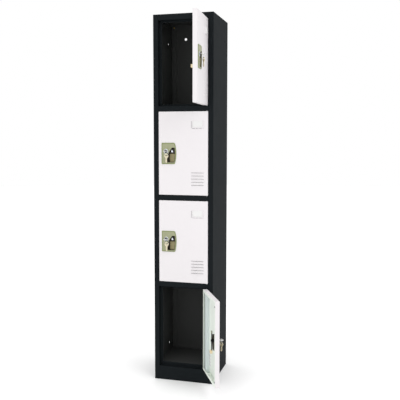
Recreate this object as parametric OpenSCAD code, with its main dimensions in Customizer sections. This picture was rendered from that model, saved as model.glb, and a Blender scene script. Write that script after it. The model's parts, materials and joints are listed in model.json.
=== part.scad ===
// Single-column steel locker cabinet with four hinged doors, drawn with two doors open.
// The origin is at the middle of the cabinet's footprint, on the floor.
// The doors face -Y, their hinges are on the +X side, and +Z is up.

/* [Cabinet] */
// Overall width
cabinet_w = 305; // [296:1:340]
// Overall depth
cabinet_d = 305; // [280:1:450]
// Overall height
cabinet_h = 1829; // [1780:1:1980]
// Thickness of the body sheet
body_t = 1.2; // [1.0:0.1:1.4]
// Width of each front stile
stile_w = 24.5; // [23:0.5:27]
// Height of the kick plate
kick_h = 70; // [60:1:100]
// Height of the rail between two doors
rail_h = 24; // [22:1:30]
// Height of the rail above the top door
top_rail_h = 28; // [24:1:40]

/* [Door frame] */
// Depth from the front face to the door stop
rebate = 24; // [23.8:0.1:24.2]
// Width of the stop flange on each stile
stop_w = 13; // [8:1:14]
// Height of the stop lips above and below a rail
lip_h = 9; // [6:1:12]
// Height of the stop lip above the kick plate
kick_lip_h = 17; // [9:1:20]
// Width of the rear flange on each side
rear_flange_w = 25; // [22:1:35]
// Depth of the turned-down edges of shelves, floor and top
edge_h = 18; // [12:1:20]

/* [Doors] */
// Door thickness
door_t = 21.5; // [21:0.1:21.5]
// Thickness of the door sheet
door_sheet = 1.0; // [0.8:0.1:1.0]
// Gap between a door and a stile
side_gap = 1.75; // [1.5:0.05:2.5]
// Gap above and below a door
end_gap = 2; // [2:0.1:3]
// Width of the inner border of the door pan
border_w = 14; // [10:1:16]
// How far door 1, the top one, is open
door_1_open = 93.4; // [0:0.1:118]
// How far door 2 is open
door_2_open = 0; // [0:0.1:118]
// How far door 3 is open
door_3_open = 0; // [0:0.1:118]
// How far door 4, the bottom one, is open
door_4_open = 117.8; // [0:0.1:118]

/* [Handle and lock] */
// Height of the handle plate
plate_h = 104.5; // [100:0.5:110]
// Width of the handle plate at its bulge
plate_w = 76; // [74:0.5:80]
// Width of the handle plate at its corners
plate_corner_w = 68.5; // [66:0.5:70]
// Distance from the door's free edge to the handle plate
plate_inset = 15.5; // [15:0.5:18]
// How far the handle plate stands out of the door
plate_t = 2.5; // [2:0.1:3]
// Depth of the finger pocket below the door face
pocket_depth = 13; // [10:0.5:14]
// Radius of the lock plug
plug_r = 6; // [5.8:0.1:6.2]
// Length of the latch arm, from the lock's axis to its tip
latch_reach = 60; // [58:0.5:60]

/* [Label holder and louvres] */
// Width of the label holder
label_w = 62; // [50:1:66]
// Height of the label holder
label_h = 37; // [30:1:45]
// Length of one louvre
louvre_w = 66; // [50:1:68]
// Spacing of the louvres
louvre_pitch = 15.3; // [12:0.1:18]

/* [Hidden] */
$fn = 48;
eps = 0.5;
tiers = 4;
front_y = -cabinet_d / 2;
back_y = cabinet_d / 2;
half_w = cabinet_w / 2;
opening_half = half_w - stile_w;
opening_h = (cabinet_h - kick_h - top_rail_h - (tiers - 1) * rail_h) / tiers;
tier_pitch = opening_h + rail_h;
stop_y = front_y + rebate;
fold_r = 1.5;

// ganging holes in the sides and wall holes in the back
gang_hole_r = 4.5;
gang_hole_back = 240;
gang_hole_z = [115, 1722];
wall_hole_r = 6.5;
wall_hole_x = 75;
wall_hole_down = 75;

// assembly bolts through the rear flanges
bolt_r = 2.5;
bolt_clear = 0.1;
bolt_x = half_w - 13.5;
bolt_down = 13;
plinth_bolt_z = 14;
plinth_edge_h = 25;
plinth_flange = 18;
top_edge_h = 25;

// doors turn on pins near their front hinge-side edge
pin_r = 2.5;
pin_clear = 0.05;
pin_in = 6;
pin_back = 4;
pin_reach = 1.6;
washer_r = 3.9;
washer_gap = 0.1;
pin_shoulder_r = 2.9;
pin_x = opening_half - side_gap - pin_in;
pin_y = front_y + pin_back;
door_half = opening_half - side_gap;
door_h = opening_h - 2 * end_gap;
door_r = 2;
door_open = [door_1_open, door_2_open, door_3_open, door_4_open];

// handle plate, from its lower left corner as seen from the front
plate_x = -door_half + plate_inset;
plate_z = (door_h - plate_h) / 2;
plate_corner_r = 3;
plate_bulge_r = 9;
bulge = plate_w - plate_corner_w;
bulge_r = (plate_h * plate_h / 4 + bulge * bulge) / (2 * bulge);
rim_w = 7;
pocket_wall = 1.5;
pocket_clear = 0.5;
pocket_left = 28.5;
pocket_low = 9;
pocket_knee = 43;
pocket_peak = [54, 79.5];

// lock, on an axis along Y
lock_u = 23;
lock_v = 63.5;
lock_x = plate_x + lock_u;
lock_z = plate_z + lock_v;
barrel_r = 9;
barrel_flange_r = 10.5;
barrel_front = -4.5;
barrel_back = 26;
barrel_clear = 0.1;
plug_clear = 0.05;
plug_front = -5.2;
arm_front = 27;
arm_t = 2.2;
arm_half_w = 7;
arm_up = 41;
tip_h = 15;
tip_half_w = 8;
tip_front = 26.2;
tip_back = 36.5;

// keys lie in the XZ plane, hole up, with the middle of the bow at the origin
bow_r = 10.5;
key_t = 2.4;
key_hole_r = 3.6;
key_hole_side = 2.6;
key_hole_up = 2.5;
blade_half_w = 4;
blade_from = 11.9;
blade_to = 34;
key_bow_out = 17.5;
ring_r = 10.5;
ring_wire_r = 0.8;
ring_tilt = 45;
spare_gap = 0.25;
spare_twist = 35;

// label holder and louvres, near the hinge edge
label_right = door_half - 21.5;
label_down = 46;
louvre_right = door_half - 20;
louvre_low = 49;
louvre_count = 5;
louvre_h = 9;
louvre_out = 2.4;

// stiffening channel inside the door
channel_left = 72;
channel_w = 32;
channel_depth = 17.5;
channel_hole_r = 3;
channel_hole_in = 14;

BODY_NODES = ["side_left", "side_right", "back_panel", "top_panel", "top_rail", "kick_plate",
              "plinth_frame", "floor_panel", "rail_1", "rail_2", "rail_3",
              "shelf_1", "shelf_2", "shelf_3", "assembly_bolts"];
DOOR_NODES = ["door", "door_channel", "handle_plate", "lock_barrel", "lock_cam", "latch_tip",
              "key", "key_ring", "spare_key", "label_holder", "hinge_pins"];

// bottom of the opening of door n, counted from the top
function opening_z(n) = kick_h + (tiers - n) * tier_pitch;

// ---- helpers

// a box from its lowest to its highest corner
module block(low, high) {
    translate(low)
    cube(high - low);
}

// a bar along X with its section drawn in YZ
module along_x(from, to) {
    translate([from, 0, 0])
    rotate([90, 0, 90])
    linear_extrude(to - from)
    children();
}

// a plan rectangle from its lowest to its highest corner
module plan(low, high) {
    translate(low)
    square(high - low);
}

// door coordinates, with z from the door's lower edge and the door closed, turned to its angle
module on_door(n) {
    translate([pin_x, pin_y, opening_z(n) + end_gap])
    rotate([0, 0, door_open[n - 1]])
    translate([-pin_x, -pin_y, 0])
    children();
}

// an outline in handle-plate coordinates, thick from one depth behind the door face to another
module plate_block(from, to) {
    translate([plate_x, front_y + to, plate_z])
    rotate([90, 0, 0])
    linear_extrude(to - from)
    children();
}

// a cylinder on the lock's axis, from one depth behind the door face to another
module lock_cylinder(radius, from, to, sides = 48) {
    translate([lock_x, front_y + to, lock_z])
    rotate([90, 0, 0])
    cylinder(r = radius, h = to - from, $fn = sides);
}

// ---- body

// plan of the left side, folded from one sheet: wall, stile, return, stop and rear flange
module side_section() {
    plan([-half_w, front_y + fold_r], [-half_w + body_t, back_y - body_t]);
    plan([-half_w + fold_r, front_y], [-opening_half - body_t, front_y + body_t]);
    translate([-half_w + fold_r, front_y + fold_r])
    circle(r = fold_r);
    translate([-opening_half - body_t, front_y + body_t])
    circle(r = body_t);
    plan([-opening_half - body_t, front_y + body_t], [-opening_half, stop_y + body_t]);
    plan([-opening_half - body_t, stop_y], [-opening_half + stop_w, stop_y + body_t]);
    plan([-half_w, back_y - 2 * body_t], [-half_w + rear_flange_w, back_y - body_t]);
}

module rear_bolt_holes() {
    for (side = [-1, 1], z = [cabinet_h - bolt_down, plinth_bolt_z])
        translate([side * bolt_x, back_y + eps, z])
        rotate([90, 0, 0])
        cylinder(r = bolt_r + bolt_clear, h = 4 * body_t + 2 * eps);
}

module side_panel() {
    difference() {
        linear_extrude(cabinet_h - body_t)
        side_section();
        for (z = gang_hole_z)
            translate([-half_w - eps, front_y + gang_hole_back, z])
            rotate([0, 90, 0])
            cylinder(r = gang_hole_r, h = body_t + 2 * eps);
        rear_bolt_holes();
    }
}

module side_left() {
    color("#2c2f31")
    side_panel();
}

module side_right() {
    color("#2c2f31")
    mirror([1, 0, 0])
    side_panel();
}

module back_panel() {
    inset = 1;
    color("#2c2f31")
    difference() {
        block([-half_w + inset, back_y - body_t, 0], [half_w - inset, back_y, cabinet_h - body_t]);
        for (side = [-1, 1])
            translate([side * wall_hole_x, back_y + eps, cabinet_h - wall_hole_down])
            rotate([90, 0, 0])
            cylinder(r = wall_hole_r, h = body_t + 2 * eps);
        rear_bolt_holes();
    }
}

// a shallow tray with its edges turned down, its upper face at height z
module tray(z, edge, front) {
    low = [-half_w + body_t, front, z - edge];
    high = [half_w - body_t, back_y - 2 * body_t, z];
    difference() {
        block(low, high);
        block(low + [body_t, body_t, -eps], high - [body_t, body_t, body_t]);
    }
}

module top_panel() {
    color("#2c2f31")
    difference() {
        union() {
            block([-half_w, front_y, cabinet_h - body_t], [half_w, back_y, cabinet_h]);
            tray(cabinet_h - body_t, top_edge_h, stop_y + body_t);
        }
        rear_bolt_holes();
    }
}

module floor_panel() {
    color("#2c2f31")
    tray(kick_h, edge_h, stop_y + body_t);
}

module shelf(n) {
    color("#2c2f31")
    tray(opening_z(n), edge_h, stop_y + body_t);
}

// hinge pin holes in a web at height z
module pin_hole(z) {
    translate([pin_x, pin_y, z - eps])
    cylinder(r = pin_r + pin_clear, h = body_t + 2 * eps);
}

module top_rail() {
    low = cabinet_h - top_rail_h;
    high = cabinet_h - body_t;
    color("#2c2f31")
    difference() {
        union() {
            along_x(-opening_half, opening_half) {
                plan([front_y, low], [front_y + body_t, high]);
                plan([front_y, low], [stop_y, low + body_t]);
                plan([front_y, high - body_t], [stop_y, high]);
            }
            along_x(-opening_half + stop_w, opening_half - stop_w)
            plan([stop_y, low - lip_h], [stop_y + body_t, high]);
        }
        pin_hole(low);
    }
}

module kick_plate() {
    color("#2c2f31")
    difference() {
        union() {
            along_x(-opening_half, opening_half) {
                plan([front_y, 0], [front_y + body_t, kick_h]);
                plan([front_y, 0], [stop_y, body_t]);
                plan([front_y, kick_h - body_t], [stop_y, kick_h]);
            }
            along_x(-opening_half + stop_w, opening_half - stop_w)
            plan([stop_y, kick_h - body_t], [stop_y + body_t, kick_h + kick_lip_h]);
        }
        pin_hole(kick_h - body_t);
    }
}

// the closed box rail under the opening of door n
module rail(n) {
    high = opening_z(n);
    low = high - rail_h;
    color("#2c2f31")
    difference() {
        union() {
            along_x(-opening_half, opening_half) {
                plan([front_y, low], [front_y + body_t, high]);
                plan([front_y, low], [stop_y, low + body_t]);
                plan([front_y, high - body_t], [stop_y, high]);
            }
            along_x(-opening_half + stop_w, opening_half - stop_w)
            plan([stop_y, low - lip_h], [stop_y + body_t, high + lip_h]);
        }
        pin_hole(low);
        pin_hole(high - body_t);
    }
}

// the ring of angle that the cabinet stands on
module plinth_frame() {
    low = [-half_w + body_t, stop_y + body_t, 0];
    high = [half_w - body_t, back_y - 2 * body_t, plinth_edge_h];
    color("#2c2f31")
    difference() {
        block(low, high);
        block(low + [body_t, body_t, body_t], high + [-body_t, -body_t, eps]);
        block(low + [plinth_flange, plinth_flange, -eps],
              high + [-plinth_flange, -plinth_flange, eps]);
        rear_bolt_holes();
    }
}

module assembly_bolts() {
    head_r = 4.6;
    head_t = 3.5;
    seat_y = back_y - 3 * body_t;
    color("#d8b84a")
    for (side = [-1, 1], z = [cabinet_h - bolt_down, plinth_bolt_z])
        translate([side * bolt_x, 0, z])
        rotate([-90, 0, 0]) {
            translate([0, 0, seat_y - head_t])
            cylinder(r = head_r, h = head_t, $fn = 6);
            translate([0, 0, seat_y])
            cylinder(r = bolt_r, h = 3 * body_t);
        }
}

// ---- doors

// plan of the door with its front corners rounded
module door_plan() {
    plan([-door_half + door_r, front_y], [door_half - door_r, front_y + door_t]);
    plan([-door_half, front_y + door_r], [door_half, front_y + door_t]);
    for (side = [-1, 1])
        translate([side * (door_half - door_r), front_y + door_r])
        circle(r = door_r);
}

function louvre_z(i) = louvre_low + i * louvre_pitch;

// hoods that lean out of the sheet and are open along their upper edge
module louvre_hoods() {
    for (i = [0:louvre_count - 1])
        along_x(louvre_right - louvre_w, louvre_right)
        polygon([
            [front_y, louvre_z(i) - louvre_h],
            [front_y - louvre_out, louvre_z(i)],
            [front_y, louvre_z(i)]
        ]);
}

module louvre_slots() {
    wall = 1;
    for (i = [0:louvre_count - 1])
        along_x(louvre_right - louvre_w + wall, louvre_right - wall)
        polygon([
            [front_y + door_sheet + eps, louvre_z(i) - louvre_h + 2 * wall],
            [front_y + wall / 2, louvre_z(i) - louvre_h + 2 * wall],
            [front_y - louvre_out + wall, louvre_z(i) + eps],
            [front_y + door_sheet + eps, louvre_z(i) + eps]
        ]);
}

module door_shell() {
    inner = door_half - door_sheet;
    window = door_half - border_w;
    difference() {
        union() {
            linear_extrude(door_h)
            door_plan();
            louvre_hoods();
        }
        block([-inner, front_y + door_sheet, door_sheet],
              [inner, front_y + door_t - door_sheet, door_h - door_sheet]);
        block([-window, front_y + door_t / 2, border_w],
              [window, front_y + door_t + eps, door_h - border_w]);
        louvre_slots();
        // hole behind the handle plate, for its pocket
        plate_block(-eps, door_sheet + eps)
        pocket_outline(pocket_wall + pocket_clear);
        lock_cylinder(barrel_r + barrel_clear, -eps, door_sheet + eps);
        for (z = [-eps, door_h - door_sheet - eps])
            translate([pin_x, pin_y, z])
            cylinder(r = pin_r + pin_clear, h = door_sheet + 2 * eps);
    }
}

module door(n) {
    color("#ecebee")
    on_door(n)
    door_shell();
}

// open channel along the hinge side that stiffens the pan
module door_channel(n) {
    z_from = door_sheet + 0.5;
    z_to = door_h - door_sheet - 0.5;
    color("#e4e6e8")
    on_door(n)
    difference() {
        block([channel_left, front_y + door_sheet, z_from],
              [channel_left + channel_w, front_y + channel_depth, z_to]);
        block([channel_left + door_sheet, front_y, z_from - eps],
              [channel_left + channel_w - door_sheet, front_y + channel_depth - door_sheet,
               z_to + eps]);
        for (z = [channel_hole_in + border_w, door_h - channel_hole_in - border_w])
            translate([channel_left + channel_w / 2, front_y + channel_depth + eps, z])
            rotate([90, 0, 0])
            cylinder(r = channel_hole_r, h = 2 * door_sheet + eps);
    }
}

// straight on the left, bulging on the right
module plate_outline() {
    offset(r = plate_bulge_r, $fn = 32)
    offset(delta = -plate_bulge_r)
    intersection() {
        square([plate_w, plate_h]);
        translate([plate_w - bulge_r, plate_h / 2])
        circle(r = bulge_r, $fn = 240);
    }
    offset(r = plate_corner_r, $fn = 32)
    offset(delta = -plate_corner_r)
    square([plate_w / 2, plate_h]);
}

// the finger pocket's outline, grown by a margin
module pocket_outline(grow) {
    intersection() {
        polygon([
            [pocket_left - grow, pocket_low - grow],
            [pocket_left - grow, pocket_knee + grow / 2],
            [pocket_peak[0] - grow / 2, pocket_peak[1] + grow],
            [plate_w, pocket_peak[1] + grow],
            [plate_w, pocket_low - grow]
        ]);
        translate([plate_w - bulge_r, plate_h / 2])
        circle(r = bulge_r - rim_w + grow, $fn = 180);
    }
}

module handle_plate(n) {
    color("#a3a27c")
    on_door(n)
    difference() {
        union() {
            plate_block(-plate_t, 0)
            plate_outline();
            plate_block(-eps, pocket_depth + pocket_wall)
            pocket_outline(pocket_wall);
        }
        plate_block(-plate_t - eps, pocket_depth)
        pocket_outline(0);
        lock_cylinder(barrel_r + barrel_clear, -plate_t - eps, eps);
    }
}

module lock_barrel(n) {
    nut_r = 13;
    nut_t = 4;
    color("#b9bcc0")
    on_door(n)
    difference() {
        union() {
            lock_cylinder(barrel_flange_r, barrel_front, -plate_t);
            lock_cylinder(barrel_r, barrel_front, barrel_back);
            lock_cylinder(nut_r, door_sheet, door_sheet + nut_t, 6);
        }
        lock_cylinder(plug_r + plug_clear, barrel_front - eps, barrel_back + eps);
    }
}

// the turning plug with the latch arm clamped to its back end
module lock_cam(n) {
    keyway_back = 19;
    keyway_clear = 0.2;
    eye_r = 3;
    nut_r = 7;
    nut_t = 3.2;
    arm_down = latch_reach - tip_h / 2;
    arm_back = arm_front + arm_t;
    color("#2a2a2c")
    on_door(n)
    difference() {
        union() {
            lock_cylinder(plug_r, plug_front, arm_back);
            block([lock_x - arm_half_w, front_y + arm_front, lock_z - arm_down],
                  [lock_x + arm_half_w, front_y + arm_back, lock_z + arm_up]);
            lock_cylinder(nut_r, arm_back, arm_back + nut_t, 6);
            translate([0, 0, arm_up])
            lock_cylinder(arm_half_w, arm_front, arm_back);
        }
        translate([0, 0, arm_up])
        lock_cylinder(eye_r, arm_front - eps, arm_back + eps);
        block([lock_x - blade_half_w - keyway_clear, front_y + plug_front - eps,
               lock_z - key_t / 2 - keyway_clear],
              [lock_x + blade_half_w + keyway_clear, front_y + keyway_back,
               lock_z + key_t / 2 + keyway_clear]);
    }
}

// nylon block on the end of the latch arm
module latch_tip(n) {
    arm_down = latch_reach - tip_h / 2;
    color("#d9cda6")
    on_door(n)
    difference() {
        block([lock_x - tip_half_w, front_y + tip_front, lock_z - latch_reach],
              [lock_x + tip_half_w, front_y + tip_back, lock_z - latch_reach + tip_h]);
        block([lock_x - arm_half_w, front_y + arm_front, lock_z - arm_down],
              [lock_x + arm_half_w, front_y + arm_front + arm_t, lock_z]);
    }
}

module key_shape() {
    notch_r = 1.6;
    notches = [15.5, 20.5, 26];
    difference() {
        union() {
            translate([0, key_t / 2, 0])
            rotate([90, 0, 0])
            cylinder(r = bow_r, h = key_t);
            block([-blade_half_w, -key_t / 2, -blade_to + blade_half_w],
                  [blade_half_w, key_t / 2, -bow_r + 1.5]);
            block([-blade_half_w - 0.8, -key_t / 2, -blade_from],
                  [blade_half_w + 0.8, key_t / 2, -bow_r + 2]);
            translate([0, key_t / 2, -blade_to + blade_half_w])
            rotate([90, 0, 0])
            cylinder(r = blade_half_w, h = key_t);
        }
        for (side = [-1, 1])
            translate([side * key_hole_side, key_t, key_hole_up])
            rotate([90, 0, 0])
            cylinder(r = key_hole_r, h = 2 * key_t);
        block([-key_hole_side, -key_t, key_hole_up - key_hole_r],
              [key_hole_side, key_t, key_hole_up + key_hole_r]);
        for (z = notches)
            translate([blade_half_w + 0.4, key_t, -z])
            rotate([90, 0, 0])
            cylinder(r = notch_r, h = 2 * key_t);
    }
}

// the key in the lock, its bow level
module key(n) {
    color("#c9c9c6")
    on_door(n)
    translate([lock_x, front_y - key_bow_out, lock_z])
    rotate([90, 0, 0])
    key_shape();
}

ring_y = front_y - key_bow_out - key_hole_up;
ring_x = lock_x + ring_r * cos(ring_tilt);
ring_z = lock_z - ring_r * sin(ring_tilt);

// split ring through the bow of the key in the lock
module key_ring(n) {
    color("#c9c9c6")
    on_door(n)
    translate([ring_x, ring_y, ring_z])
    rotate([90, 0, 0])
    rotate_extrude()
    translate([ring_r, 0])
    circle(r = ring_wire_r, $fn = 24);
}

// second key, hanging on the ring
module spare_key(n) {
    wire_z = ring_z - ring_r;
    hole_z = wire_z + ring_wire_r + spare_gap - key_hole_r;
    color("#b8a878")
    on_door(n)
    translate([ring_x, ring_y, hole_z - key_hole_up])
    rotate([0, 0, spare_twist])
    key_shape();
}

// open-topped holder for a paper label, its edges bent over the card
module label_holder(n) {
    sheet = 0.8;
    stand = 2.4;
    lip = 5;
    left = label_right - label_w;
    low = door_h - label_down - label_h;
    color("#e6e6ea")
    on_door(n)
    difference() {
        block([left, front_y - stand, low], [label_right, front_y, low + label_h]);
        block([left + sheet, front_y - stand + sheet, low + sheet],
              [label_right - sheet, front_y - sheet, low + label_h + eps]);
        block([left + lip, front_y - stand - eps, low + lip],
              [label_right - lip, front_y - stand + sheet + eps, low + label_h + eps]);
    }
}

// two pins on the door's hinge side, the lower one with a washer under the door
module hinge_pins(n) {
    boss_h = 8;
    reach = end_gap + pin_reach;
    color("#b9bcc0")
    on_door(n)
    translate([pin_x, pin_y, 0]) {
        translate([0, 0, -reach])
        cylinder(r = pin_r, h = reach + door_sheet);
        translate([0, 0, door_sheet])
        cylinder(r = pin_shoulder_r, h = boss_h);
        translate([0, 0, -end_gap + washer_gap])
        cylinder(r = washer_r, h = end_gap - washer_gap);
        translate([0, 0, door_h - door_sheet])
        cylinder(r = pin_r, h = reach + door_sheet);
        translate([0, 0, door_h - door_sheet - boss_h])
        cylinder(r = pin_shoulder_r, h = boss_h);
    }
}

// ---- everything

side_left();
side_right();
back_panel();
top_panel();
top_rail();
kick_plate();
plinth_frame();
floor_panel();
assembly_bolts();
for (n = [1:3]) {
    rail(n);
    shelf(n);
}
for (n = [1:4]) {
    door(n);
    door_channel(n);
    handle_plate(n);
    lock_barrel(n);
    lock_cam(n);
    latch_tip(n);
    key(n);
    key_ring(n);
    spare_key(n);
    label_holder(n);
    hinge_pins(n);
}
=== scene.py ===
import json
import math

import bmesh
import bpy
from mathutils import Matrix, Vector


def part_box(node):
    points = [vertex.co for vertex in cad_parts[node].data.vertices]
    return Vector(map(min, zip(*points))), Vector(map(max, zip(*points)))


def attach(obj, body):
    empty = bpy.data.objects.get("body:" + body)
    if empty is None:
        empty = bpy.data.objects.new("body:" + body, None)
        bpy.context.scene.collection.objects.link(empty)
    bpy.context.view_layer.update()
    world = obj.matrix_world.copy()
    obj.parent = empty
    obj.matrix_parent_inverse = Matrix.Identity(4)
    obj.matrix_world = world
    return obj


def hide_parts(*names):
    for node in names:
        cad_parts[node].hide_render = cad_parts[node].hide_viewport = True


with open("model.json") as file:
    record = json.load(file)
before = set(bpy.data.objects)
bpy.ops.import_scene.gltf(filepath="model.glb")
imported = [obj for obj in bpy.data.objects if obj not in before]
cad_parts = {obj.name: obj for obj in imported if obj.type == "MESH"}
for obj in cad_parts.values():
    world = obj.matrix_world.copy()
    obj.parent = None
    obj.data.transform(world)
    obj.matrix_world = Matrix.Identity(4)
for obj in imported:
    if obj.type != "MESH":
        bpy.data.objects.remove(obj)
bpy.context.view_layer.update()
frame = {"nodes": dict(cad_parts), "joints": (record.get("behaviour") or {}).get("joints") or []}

# Pieces are built in millimetres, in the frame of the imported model, with the door closed:
# +Z up, doors facing -Y, hinges on +X. settle() turns them to metres, and on_each_door() also
# turns them to each door's angle.
MM = 0.001

# ---------------------------------------------------------------- sizes from the frame

JOINTS = {joint["name"]: joint for joint in frame["joints"]}
DOORS = (1, 2, 3, 4)
CLOSED = 2


def box_mm(node):
    low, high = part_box(node)
    return low / MM, high / MM


side_low, side_high = box_mm("side_left")
_, top_high = box_mm("top_panel")
_, rail_high = box_mm("rail_1")
back_low, back_high = box_mm("back_panel")
door_low, door_high = box_mm(f"door_{CLOSED}")
plate_low, plate_high = box_mm(f"handle_plate_{CLOSED}")
barrel_low, barrel_high = box_mm(f"lock_barrel_{CLOSED}")
cam_low, cam_high = box_mm(f"lock_cam_{CLOSED}")
tip_low, tip_high = box_mm(f"latch_tip_{CLOSED}")
key_low, _ = box_mm(f"key_{CLOSED}")
ring_low, ring_high = box_mm(f"key_ring_{CLOSED}")
_, spare_high = box_mm(f"spare_key_{CLOSED}")
label_low, label_high = box_mm(f"label_holder_{CLOSED}")
channel_low, channel_high = box_mm(f"door_channel_{CLOSED}")
pins_low, pins_high = box_mm(f"hinge_pins_{CLOSED}")
bolts_low, _ = box_mm("assembly_bolts")

BODY_T = 1.2
DOOR_T = 1.0
HALF_W = -side_low.x
HALF_OPENING = rail_high.x
STOP_W = 13
STOP_HALF = HALF_OPENING - STOP_W
FRONT = side_low.y
STOP = rail_high.y - BODY_T
BACK = back_high.y
SIDE_TOP = side_high.z
BODY_BEND = 1.1
INNER_LOW = 60
lock_at = Vector(JOINTS[f"lock_{CLOSED}_turn"]["pos_m"]) / MM
LOCK_X, LOCK_Z = lock_at.x, lock_at.z

# ---------------------------------------------------------------- outlines


def arc(centre, radius, start, end, steps):
    """Points on a circle between two angles in degrees."""
    turn = [math.radians(start + (end - start) * i / steps) for i in range(steps + 1)]
    return [(centre[0] + radius * math.cos(a), centre[1] + radius * math.sin(a)) for a in turn]


def circle(centre, radius, sides=40):
    return arc(centre, radius, 0, 360 - 360 / sides, sides - 1)


def rounded(points, radius, steps=5):
    """A closed anticlockwise outline with its corners rounded; radius may be a list, one for each corner."""
    out = []
    count = len(points)
    radii = radius if isinstance(radius, list) else [radius] * count
    for i, corner in enumerate(points):
        corner = Vector(corner)
        before = Vector(points[i - 1]) - corner
        after = Vector(points[(i + 1) % count]) - corner
        angle = before.angle(after)
        reach = min(radii[i] / math.tan(angle / 2), 0.49 * before.length, 0.49 * after.length)
        r = reach * math.tan(angle / 2)
        start = corner + before.normalized() * reach
        bisector = (before.normalized() + after.normalized()).normalized()
        centre = corner + bisector * (r / math.sin(angle / 2))
        side = 1 if before.cross(after) < 0 else -1
        for k in range(steps + 1):
            turn = Matrix.Rotation(side * (math.pi - angle) * k / steps, 2)
            out.append(tuple(centre + turn @ (start - centre)))
    return out


def rectangle(low, high, radius=0.0, steps=5):
    corners = [(low[0], low[1]), (high[0], low[1]), (high[0], high[1]), (low[0], high[1])]
    return rounded(corners, radius, steps) if radius > 0 else corners


def box_ring(low, high, radius, steps=4):
    """A rounded rectangle as a function of how far it is moved inwards."""

    def ring(back):
        near, far = (low[0] + back, low[1] + back), (high[0] - back, high[1] - back)
        return rectangle(near, far, max(0.25, radius - back), steps)

    return ring


def inset(outline, amount):
    """A closed anticlockwise outline moved inwards; a negative amount grows it.

    An outline that is a function works out its own inset.
    """
    if callable(outline):
        return outline(amount)
    if amount == 0:
        return outline
    count = len(outline)
    out = []
    for i, point in enumerate(outline):
        a = (Vector(point) - Vector(outline[i - 1])).normalized()
        b = (Vector(outline[(i + 1) % count]) - Vector(point)).normalized()
        normal = Vector((-(a + b).y, (a + b).x)).normalized()
        stretch = max(0.5, math.sqrt(max(0.0, (1 + a.dot(b)) / 2)))
        out.append(tuple(Vector(point) + normal * amount / stretch))
    return out


def folded(path, thickness, bend, steps=4):
    """The section of a folded sheet whose middle follows the path, with every fold rounded."""
    samples = []
    last = len(path) - 1
    for i, corner in enumerate(path):
        corner = Vector(corner)
        if i in (0, last):
            way = Vector(path[1]) - corner if i == 0 else corner - Vector(path[-2])
            samples.append((corner, way.normalized()))
            continue
        d0 = (corner - Vector(path[i - 1])).normalized()
        d1 = (Vector(path[i + 1]) - corner).normalized()
        sweep = d0.angle_signed(d1)
        start = corner - d0 * bend * math.tan(abs(sweep) / 2)
        side = Vector((-d0.y, d0.x)) * (1 if sweep < 0 else -1)
        centre = start + side * bend
        for k in range(steps + 1):
            turn = Matrix.Rotation(-sweep * k / steps, 2)
            samples.append((centre + turn @ (start - centre), turn @ d0))
    left = [p + Vector((-w.y, w.x)) * thickness / 2 for p, w in samples]
    right = [p - Vector((-w.y, w.x)) * thickness / 2 for p, w in samples]
    return [tuple(p) for p in right + left[::-1]]


# ---------------------------------------------------------------- meshes


def along(axis, outline, level):
    """An outline's points in space, at a level along x, y or z; its own axes are the other two, in order."""
    place = {
        "x": lambda u, v: (level, u, v),
        "y": lambda u, v: (u, level, v),
        "z": lambda u, v: (u, v, level),
    }[axis]
    return [place(u, v) for u, v in outline]


def loft(bm, rings, closed=False):
    """Joins equal rings of points by quads. The ends are capped, or joined to each other if closed."""
    loops = [[bm.verts.new(p) for p in ring] for ring in rings]
    pairs = list(zip(loops, loops[1:]))
    if closed:
        pairs.append((loops[-1], loops[0]))
    for low, high in pairs:
        for i in range(len(low)):
            j = (i + 1) % len(low)
            bm.faces.new((low[i], low[j], high[j], high[i]))
    if not closed:
        bm.faces.new(loops[0][::-1])
        bm.faces.new(loops[-1])


def shell(bm, axis, outline, levels, closed=False):
    """A loft of one outline, each level with its own inset: [(inset, level), ...]."""
    loft(bm, [along(axis, inset(outline, back), level) for back, level in levels], closed)


def quarter(edge, steps=3):
    """(inset, depth) pairs from a flat face round a soft edge of that radius to the side."""
    turn = [math.radians(90 * i / steps) for i in range(steps + 1)]
    return [(edge * (1 - math.sin(a)), edge * (1 - math.cos(a))) for a in turn]


def prism(bm, axis, outline, start, end, edge=0.0, steps=2):
    """An extruded outline, its two ends softened by an edge radius."""
    if edge <= 0:
        shell(bm, axis, outline, [(0, start), (0, end)])
        return
    first = [(back, start + depth) for back, depth in quarter(edge, steps)]
    second = [(back, end - depth) for back, depth in reversed(quarter(edge, steps))]
    shell(bm, axis, outline, first + second)


def turned(bm, centre, axis, profile, sides=40, closed=False):
    """A body of revolution round an axis through centre; the profile lists (level on the axis, radius)."""
    rings = [along(axis, circle(centre, radius, sides), level) for level, radius in profile]
    loft(bm, rings, closed)


CHAMFER_SLOPE = 0.58


def hexagon_nut(bm, centre, start, end, across, bore=0.0, turn=0.0):
    """A hexagonal head or nut along Y, its corners chamfered at its outer end, the one at start."""
    middle = Vector(centre)
    corners = [middle + Matrix.Rotation(math.radians(turn + 60 * i), 2) @ Vector((across / math.sqrt(3), 0))
               for i in range(6)]
    outer = [corners[i].lerp(corners[(i + 1) % 6], k / 6) for i in range(6) for k in range(6)]
    way = 1 if end > start else -1

    def ring(radius, level):
        return [(p.x, level, p.y) for p in (middle + (q - middle).normalized() * radius for q in outer)]

    def cut_back(p):
        """How far the chamfer has moved the face back at a point of the hexagon."""
        return CHAMFER_SLOPE * max(0.0, (p - middle).length - across / 2 + 0.2)

    chamfer = [(p.x, start + way * cut_back(p), p.y) for p in outer]
    rings = [ring(across * 0.47, start), chamfer, [(p.x, end, p.y) for p in outer]]
    if bore > 0:
        rings += [ring(bore, end), ring(bore, start)]
    loft(bm, rings, closed=bore > 0)


def finish_mesh(bm, name):
    bmesh.ops.recalc_face_normals(bm, faces=bm.faces)
    mesh = bpy.data.meshes.new(name)
    bm.to_mesh(mesh)
    bm.free()
    piece = bpy.data.objects.new(name, mesh)
    bpy.context.scene.collection.objects.link(piece)
    return piece


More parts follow.
